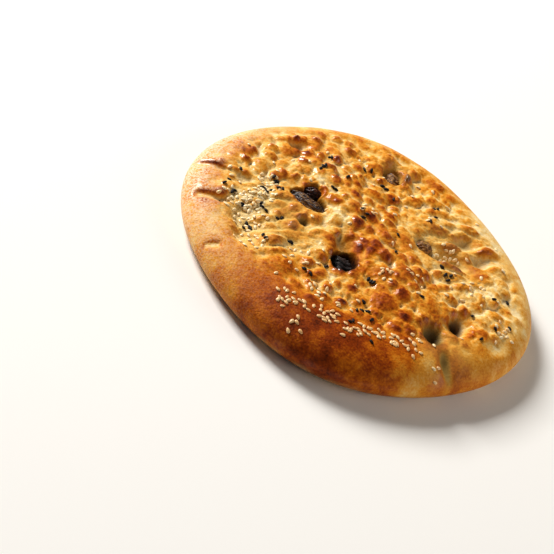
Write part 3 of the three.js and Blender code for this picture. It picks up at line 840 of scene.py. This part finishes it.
tree.links.new(crust_shader.outputs["BSDF"], crust_out.inputs["Surface"])
crust.data.materials.append(crust_paint)
print("crust material has", len(tree.nodes), "nodes")

# %% [markdown]
# ## Seeds
# Sesame was scattered in pinches, and nigella more thinly. Each seed is a closed grid of a few dozen
# faces, laid on the crust along its slope. All seeds of a kind are worked out at once and joined.

# %% Where the seeds lie
SESAME = (2.9, 1.8, 1.0)  # long, wide, thick
NIGELLA = (3.0, 1.6, 1.3)
NIGELLA_PINCHES = [  # x, y, spread, count
    (-76, -5, 1, 1), (-78.6, -14.2, 1, 1), (-79.5, -23, 1, 1), (-73, -24.4, 1.5, 2),
    (-64.3, -28.5, 1.5, 2), (-59.7, -10, 2, 3), (-57.5, 3, 2, 3), (-53, -2, 1.5, 2),
    (-56.3, -7.3, 1, 1), (-55, -22, 2.2, 3), (-44, -24, 1.5, 2), (-55.5, -40, 2.6, 4),
    (-46, -45, 1.5, 2), (-33, -37.3, 1.5, 2), (-29.5, 17.5, 1.4, 2), (-41.5, 28.5, 2, 3),
    (-40, 44, 2, 2), (-59.3, 36.7, 1, 1), (-26.7, 33, 1, 1), (-9, 10, 2.5, 3), (-11, -39, 1, 1),
    (-18, -50, 2, 2), (12.5, -33, 2, 3), (16.5, -5, 1, 1), (13, -51, 1, 1), (17.5, -55, 1.5, 2),
    (13, -59, 1, 1), (22, -59, 1, 1), (14.7, -67.4, 1.5, 2), (27.6, -73.4, 1, 1), (12, 12, 1, 1),
    (42, 9.6, 1, 1), (47.7, 4, 2, 3), (75.3, 6.8, 1, 1), (81.3, 16.4, 1, 1), (67, -12.6, 1, 1),
    (81.3, -12.6, 1, 1), (76.3, -26.8, 1, 1), (40, -26, 1, 1), (88, -6, 1, 1), (24, 55, 1.5, 2),
    (25.6, 46, 1, 1), (24.5, 38.6, 1, 1), (1.7, 40.4, 1, 1), (-6.5, 49, 1.5, 2), (-19, 54, 3, 2),
]
SESAME_PINCHES = [  # as nigella's
    (-61, -2, 6, 18), (-58, -12, 6, 20), (-62, -22, 8, 24), (-70, -28, 8, 22), (-57, -32, 8, 18),
    (-50, -50, 9, 14), (-20, -77, 6, 13), (-12, -75, 4, 6), (-8, -60, 5, 9), (2, -73, 6, 14),
    (7, -62, 5, 4), (15, -74, 5, 9), (-9, -88, 4, 5), (21, -68, 4, 8), (29, -65, 4, 9), (37, -63, 4, 9),
    (46, -62, 5, 8), (46, -55, 4, 4), (63, -64, 3, 3), (43, 22, 7, 22), (17, -25, 5, 8),
    (33, -13, 7, 6), (85, -11, 7, 9), (-24, -46, 9, 10), (62, 7, 13, 14), (-4, 58, 5, 6),
    (-7, 16, 5, 5), (0, 0, 80, 36), (28, 40, 34, 12), (-62, -5, 26, 12),
]
SEED_SPIRAL = 137.5
SEED_SCATTER = 0.9  # in the mean distance between neighbours


def pinch_places(pinches, salt):
    """A golden spiral in each pinch: seed k lies at the square root of k + 1/2, then is nudged aside."""
    rows = np.repeat(np.arange(len(pinches)), [p[3] for p in pinches])
    each = np.concatenate([np.arange(p[3]) for p in pinches])
    x, y, spread, count = np.array(pinches, float)[rows].T
    turn = SEED_SPIRAL * DEGREE * each + FULL_TURN * draw_at(rows, 0, salt)
    away = spread * np.sqrt((each + 0.5) / count)
    nudge = SEED_SCATTER * spread / np.sqrt(count)
    x = x + away * np.cos(turn) + nudge * (2 * draw_at(rows, each, salt + 1) - 1)
    y = y + away * np.sin(turn) + nudge * (2 * draw_at(rows, each, salt + 3) - 1)
    return x, y, FULL_TURN * draw_at(rows, each, salt + 2)


print(len(SESAME_PINCHES), "pinches of sesame and", len(NIGELLA_PINCHES), "of nigella")

# %% One seed, and all of a kind
SEED_SIDES = 8
SEED_STEPS = 6
SEED_SCALES = (0.88, 0.2)  # least and spread
SLOPE_STEP = 1
TOAST_BY_CRUST = 0.7  # the rest of a seed's toasting is chance


def seed_form(size, taper, ridges):
    """One seed: circles along an axis whose radius is sine t, fuller at one end, a little ridged."""
    t = np.linspace(0, math.pi, SEED_STEPS + 1)[1:-1, None]
    side = (FULL_TURN * np.arange(SEED_SIDES) / SEED_SIDES)[None, :]
    radius = np.sin(t) * (1 + taper * np.cos(t)) * (1 + ridges * np.cos(3 * side))
    body = np.stack([np.broadcast_to(-np.cos(t), radius.shape), radius * np.cos(side),
                     radius * np.sin(side)], -1).reshape(-1, 3)
    points = np.vstack([[[-1, 0, 0]], body, [[1, 0, 0]]]) * np.array(size) / 2
    first = 1 + SEED_SIDES * np.arange(SEED_STEPS - 2)[:, None]
    k, n = np.arange(SEED_SIDES), (np.arange(SEED_SIDES) + 1) % SEED_SIDES
    a, b = first + k, first + n
    quads = np.stack([a, b, b + SEED_SIDES, a + SEED_SIDES], -1).reshape(-1, 4)
    last = 1 + SEED_SIDES * (SEED_STEPS - 2)
    caps = [np.column_stack([np.zeros(SEED_SIDES, int), n + 1, k + 1]),
            np.column_stack([np.full(SEED_SIDES, len(points) - 1), last + k, last + n])]
    split = np.vstack([quads[:, [0, 1, 2]], quads[:, [0, 2, 3]]])
    return points, np.vstack([*caps, split])


def lay_seeds(name, pinches, salt, size, taper, ridges, lift):
    """Copies of one seed, each turned by its spin, tilted to the crust's slope and set on it."""
    x, y, spin = pinch_places(pinches, salt)
    nth = np.arange(len(x))
    z = crust_height(x, y)
    slope_x = crust_height(x + SLOPE_STEP, y) - crust_height(x - SLOPE_STEP, y)
    slope_y = crust_height(x, y + SLOPE_STEP) - crust_height(x, y - SLOPE_STEP)
    slope_x, slope_y = slope_x / (2 * SLOPE_STEP), slope_y / (2 * SLOPE_STEP)
    up = np.stack([-slope_x, -slope_y, np.ones_like(x)], -1)
    up /= np.linalg.norm(up, axis=1, keepdims=True)
    along = np.stack([np.cos(spin), np.sin(spin), np.zeros_like(x)], -1)
    along -= up * (along * up).sum(1, keepdims=True)
    along /= np.linalg.norm(along, axis=1, keepdims=True)
    side = np.cross(up, along)
    form, faces = seed_form(size, taper, ridges)
    scale = SEED_SCALES[0] + SEED_SCALES[1] * draw_at(nth, 5, 0)
    body = form[None] * scale[:, None, None]
    points = body[..., :1] * along[:, None] + body[..., 1:2] * side[:, None] + body[..., 2:] * up[:, None]
    points += np.stack([x, y, z], -1)[:, None] + up[:, None] * size[2] * lift
    joined = (faces[None] + len(form) * nth[:, None, None]).reshape(-1, 3)
    toast = TOAST_BY_CRUST * browning_and_painted_light(x, y, 0) + (1 - TOAST_BY_CRUST) * draw_at(nth, 9, 0)
    toast = np.repeat(toast, len(form))
    piece = new_piece(name, points.reshape(-1, 3), joined, {"toast": toast})
    print(name, "has", len(x), "seeds and", len(joined), "faces")
    return piece


# %% The seeds
sesame = lay_seeds("sesame_seeds", SESAME_PINCHES, 53, SESAME, taper=0.3, ridges=0.0, lift=0.22)
nigella = lay_seeds("nigella_seeds", NIGELLA_PINCHES, 41, NIGELLA, taper=0.15, ridges=0.16, lift=0.34)
for piece, slot in ((sesame, "sesame_seed"), (nigella, "nigella_seed")):
    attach(piece, "root")
    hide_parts("bread")

# %% [markdown]
# ### Seed finishes
# Hulled sesame is a pale cream with an oily sheen, and toasts to straw, mostly as much as the crust
# under it is browned, its painted light and shade included. Nigella is matt black with a fine grain.

# %% Toasted sesame
sesame_paint, sesame_out = new_material("hulled_sesame")
tree = sesame_paint.node_tree
toast = add_node(tree, "ShaderNodeAttribute", attribute_name="toast").outputs["Fac"]
sesame_colour = add_node(tree, "ShaderNodeValToRGB", {"Fac": toast}, stops=[
    (0.15, "#F8E4B4"),
    (0.5, "#EFC98E"),
    (0.9, "#E2AC6C"),
])
sesame_shader = add_node(tree, "ShaderNodeBsdfPrincipled", {
    "Base Color": sesame_colour.outputs["Color"],
    "Roughness": 0.4,
    "IOR": 1.47,
    "Coat Weight": 0.2,
    "Coat Roughness": 0.15,
})
tree.links.new(sesame_shader.outputs["BSDF"], sesame_out.inputs["Surface"])
sesame.data.materials.append(sesame_paint)
print(sesame.name, "is", sesame_paint.name)

# %% Black nigella
NIGELLA_GRAIN = 0.5
nigella_paint, nigella_out = new_material("nigella_black")
tree = nigella_paint.node_tree
where = add_node(tree, "ShaderNodeTexCoord").outputs["Object"]
pits = add_node(tree, "ShaderNodeTexNoise", {
    "Vector": where, "Scale": PER_METRE / NIGELLA_GRAIN, "Detail": 2.0})
nigella_colour = add_node(tree, "ShaderNodeValToRGB", {"Fac": pits.outputs["Fac"]}, stops=[
    (0.3, "#0C0908"),
    (0.7, "#241A16"),
])
nigella_shader = add_node(tree, "ShaderNodeBsdfPrincipled", {
    "Base Color": nigella_colour.outputs["Color"],
    "Roughness": 0.6,
    "IOR": 1.5,
    "Specular IOR Level": 0.2,
})
tree.links.new(nigella_shader.outputs["BSDF"], nigella_out.inputs["Surface"])
nigella.data.materials.append(nigella_paint)
print(nigella.name, "is", nigella_paint.name)

# %% [markdown]
# ## The filling
# The five pieces that show through the openings are soft, wrinkled and wet with fat. Each is an
# ellipsoid whose radius is folded by a few long sine waves, with finer folds across them.

# %% Filling pieces
PIECES = [  # node, x, y, height of the middle, size, turn, salt
    ("filling_upper", -37.8, 11.2, 17.4, (12.5, 7.8, 9), 20, 3),
    ("filling_lower", -37.4, 1, 16.6, (24, 11.6, 9), -5, 7),
    ("filling_pit", -4.6, -26.6, 13.4, (13.5, 15.5, 8.5), 30, 13),
    ("filling_back", -4.5, 62.5, 16.4, (7.5, 11, 6), 20, 19),
    ("filling_small", 28.5, 21, 17.6, (8.5, 8, 5.5), 0, 23),
]
PIECE_WRINKLE = 0.09  # share of the radius
FINE_WRINKLE = 0.055


def piece_surface(around, along, size, salt):
    """A folded ellipsoid over two angles: the unit ball times one plus long and fine sine folds."""
    around, along = np.broadcast_arrays(around, along)
    x, y, z = np.sin(along) * np.cos(around), np.sin(along) * np.sin(around), np.cos(along)
    folds = np.sin(5 * y + 2 * x + salt) + 0.6 * np.sin(7 * x - 4 * z + 2 * salt)
    fine = np.sin(17 * y + 3 * np.sin(4 * x + salt)) + 0.7 * np.sin(13 * z + 9 * y + 2 * x - salt)
    swell = 1 + PIECE_WRINKLE * folds + FINE_WRINKLE * fine
    return np.stack([x * size[0] / 2, y * size[1] / 2, z * size[2] / 2], -1) * swell[..., None]


def closed_ball(size, salt, steps=48, sides=96):
    """The folded ellipsoid as a grid closed round its axis, with one point at each pole."""
    along = np.linspace(0, math.pi, steps + 1)[1:-1, None]
    around = (FULL_TURN * np.arange(sides) / sides)[None, :]
    body = piece_surface(around, along, size, salt).reshape(-1, 3)
    poles = piece_surface(np.zeros(2), np.array([0.0, math.pi]), size, salt)
    points = np.vstack([poles[:1], body, poles[1:]])
    first = 1 + sides * np.arange(steps - 2)[:, None]
    k, n = np.arange(sides), (np.arange(sides) + 1) % sides
    a, b = first + k, first + n
    quads = np.stack([a, a + sides, b + sides, b], -1).reshape(-1, 4)
    last = 1 + sides * (steps - 2)
    caps = [np.column_stack([np.zeros(sides, int), k + 1, n + 1]),
            np.column_stack([np.full(sides, len(points) - 1), last + n, last + k])]
    return points, np.vstack([*caps, quads[:, [0, 1, 2]], quads[:, [0, 2, 3]]])


filling_pieces = []
for node, x, y, z, size, turn, salt in PIECES:
    points, faces = closed_ball(size, salt)
    c, s = math.cos(turn * DEGREE), math.sin(turn * DEGREE)
    points = points @ np.array([[c, s, 0], [-s, c, 0], [0, 0, 1]]) + [x, y, z]
    piece = new_piece("wrinkled_" + node, points, faces)
    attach(piece, "root")
    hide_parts(node)
    filling_pieces.append(piece)
print(len(filling_pieces), "pieces of filling")

# %% [markdown]
# ### Fried mince, wet with fat
# The upper piece on the left is nearly black with brown streaks, the one below it is streaked with
# golden fat, and the one in the deep pit is the darkest: a darker copy of the dark filling, whose
# extra dark is painted shade of the pit. The two small ones sit high, dried and browned like the crust.
# The four finishes differ only in their colours, their roughness and their film of fat, so one
# function makes them all.

# %% The filling's materials
STREAK_LENGTH = 4
STREAK_WIDTH = 1.4
FOLD_RELIEF = 1.4


def filling_material(name, stops, roughness, coat):
    """Streaks of noise drawn out along the pieces, coloured by a ramp, under a thin film of fat."""
    material, out = new_material(name)
    tree = material.node_tree
    place = add_node(tree, "ShaderNodeTexCoord").outputs["Object"]
    drawn = add_node(tree, "ShaderNodeMapping", {
        "Vector": place,
        "Scale": (PER_METRE / STREAK_LENGTH, PER_METRE / STREAK_WIDTH, PER_METRE / STREAK_WIDTH),
    })
    streaks = add_node(tree, "ShaderNodeTexNoise", {
        "Vector": drawn.outputs["Vector"], "Scale": 1.0, "Detail": 4.0, "Distortion": 1.0})
    colour = add_node(tree, "ShaderNodeValToRGB", {"Fac": streaks.outputs["Fac"]}, stops=stops)
    folds = add_node(tree, "ShaderNodeBump", {
        "Height": streaks.outputs["Fac"], "Strength": 1.0, "Distance": FOLD_RELIEF * MM})
    shader = add_node(tree, "ShaderNodeBsdfPrincipled", {
        "Base Color": colour.outputs["Color"],
        "Roughness": roughness,
        "IOR": 1.46,
        "Normal": folds.outputs["Normal"],
        "Coat Weight": coat,
        "Coat Roughness": 0.14,
    })
    tree.links.new(shader.outputs["BSDF"], out.inputs["Surface"])
    return material


dark_filling = filling_material("dark_wet_filling", [
    (0.36, "#14080B"),
    (0.5, "#2E1216"),
    (0.62, "#5A2A26"),
    (0.7, "#95603E"),
], roughness=0.4, coat=0.2)
# Painted shade: the pit's piece is a darker copy of the dark filling.
shaded_pit_filling = filling_material("pit_filling_with_painted_shade", [
    (0.36, "#080405"),
    (0.55, "#170A0B"),
    (0.7, "#2E1612"),
], roughness=0.5, coat=0.06)
streaked_filling = filling_material("fat_streaked_filling", [
    (0.36, "#190B08"),
    (0.48, "#3C1E12"),
    (0.57, "#6E4A26"),
    (0.66, "#AE8450"),
], roughness=0.34, coat=0.4)
browned_filling = filling_material("browned_filling", [
    (0.34, "#4A2A0C"),
    (0.5, "#80501C"),
    (0.66, "#B8883E"),
], roughness=0.55, coat=0.08)

# %% Each piece gets its finish
finishes = {
    "filling_upper": dark_filling,
    "filling_lower": streaked_filling,
    "filling_pit": shaded_pit_filling,
    "filling_back": browned_filling,
    "filling_small": browned_filling,
}
for piece, (node, *_) in zip(filling_pieces, PIECES):
    piece.data.materials.append(finishes[node])
    print(piece.name, "is", finishes[node].name)

# %% [markdown]
# ## Floor, light and camera
# A plain food studio has a pale floor, one large soft window from the left, and a weaker light from the
# right that opens the shadows and gives the far side of the rim its sheen. The surroundings are dim, so
# that the relief keeps its contrast. The camera looks down at the front of the bread and is rolled, and
# its place and lens come from fitting the bread's outline in a picture of this size.

# %% Floor
FLOOR_WIDTH = 3  # m
FLOOR_DROP = 0.0005  # m, so that the floor and the base aren't one plane
bpy.ops.mesh.primitive_plane_add(size=FLOOR_WIDTH, location=(0, 0, -FLOOR_DROP))
floor = bpy.context.object
floor.name = "floor"
floor_paint, floor_out = new_material("pale_floor")
tree = floor_paint.node_tree
floor_shader = add_node(tree, "ShaderNodeBsdfPrincipled", {
    "Base Color": linear("#F8F7F5"),
    "Roughness": 0.9,
})
tree.links.new(floor_shader.outputs["BSDF"], floor_out.inputs["Surface"])
floor.data.materials.append(floor_paint)
print("floor", FLOOR_WIDTH, "m wide")

# %% Light
SURROUNDINGS = 0.08


def area_light(name, place, aim, width, power, colour):
    """A square soft light at a place in metres, facing a point, with its power in watts."""
    lamp = bpy.data.lights.new(name, "AREA")
    lamp.size, lamp.energy, lamp.color = width, power, linear(colour)[:3]
    made = bpy.data.objects.new(name, lamp)
    bpy.context.scene.collection.objects.link(made)
    made.location = place
    made.rotation_mode = "QUATERNION"
    made.rotation_quaternion = (Vector(aim) - Vector(place)).to_track_quat("-Z", "Y")
    return made


area_light("window_left", (-1.75, 0.9, 1.25), (0, 0, 0), width=0.8, power=92, colour="#FFFCF7")
area_light("fill_right", (1.7, 0.1, 0.7), (0, 0, 0), width=1.4, power=16, colour="#FFF4E4")
world = bpy.data.worlds.new("studio")
bpy.context.scene.world = world
world.use_nodes = True
background = world.node_tree.nodes["Background"]
background.inputs["Color"].default_value = linear("#FFFFFF")
background.inputs["Strength"].default_value = SURROUNDINGS
bpy.context.scene.view_settings.view_transform = "Standard"
print("two lights, and surroundings of", SURROUNDINGS)

# %% Camera
ELEVATION = 37
ROLL = 30.5
DISTANCE = 750
TARGET_HEIGHT = 10
PICTURE = 554  # pixels wide and high
FOCAL_PIXELS = 1402
TARGET_PIXEL = (360.6, 251.0)  # where the bread's middle falls
SENSOR = 36

tilt, roll_angle = ELEVATION * DEGREE, ROLL * DEGREE
forward = Vector((0, math.cos(tilt), -math.sin(tilt)))
level_right = Vector((1, 0, 0))
level_up = Vector((0, math.sin(tilt), math.cos(tilt)))
picture_right = level_right * math.cos(roll_angle) + level_up * math.sin(roll_angle)
picture_down = level_right * math.sin(roll_angle) - level_up * math.cos(roll_angle)
eye = Vector((0, 0, TARGET_HEIGHT)) - forward * DISTANCE - Vector((MIDDLE_X, MIDDLE_Y, 0))
aside = (PICTURE / 2 - TARGET_PIXEL[0]) / FOCAL_PIXELS
downward = (PICTURE / 2 - TARGET_PIXEL[1]) / FOCAL_PIXELS
aim = (forward + picture_right * aside + picture_down * downward).normalized()
right = (picture_right - aim * picture_right.dot(aim)).normalized()
up = right.cross(aim)
camera = bpy.data.objects.new("camera", bpy.data.cameras.new("camera"))
bpy.context.scene.collection.objects.link(camera)
camera.data.sensor_width = SENSOR
camera.data.lens = SENSOR * FOCAL_PIXELS / PICTURE
camera.matrix_world = Matrix.Translation(eye * MM) @ Matrix((right, up, -aim)).transposed().to_4x4()
bpy.context.scene.camera = camera
print("camera at", [round(c, 3) for c in eye * MM], "lens", round(camera.data.lens, 1))
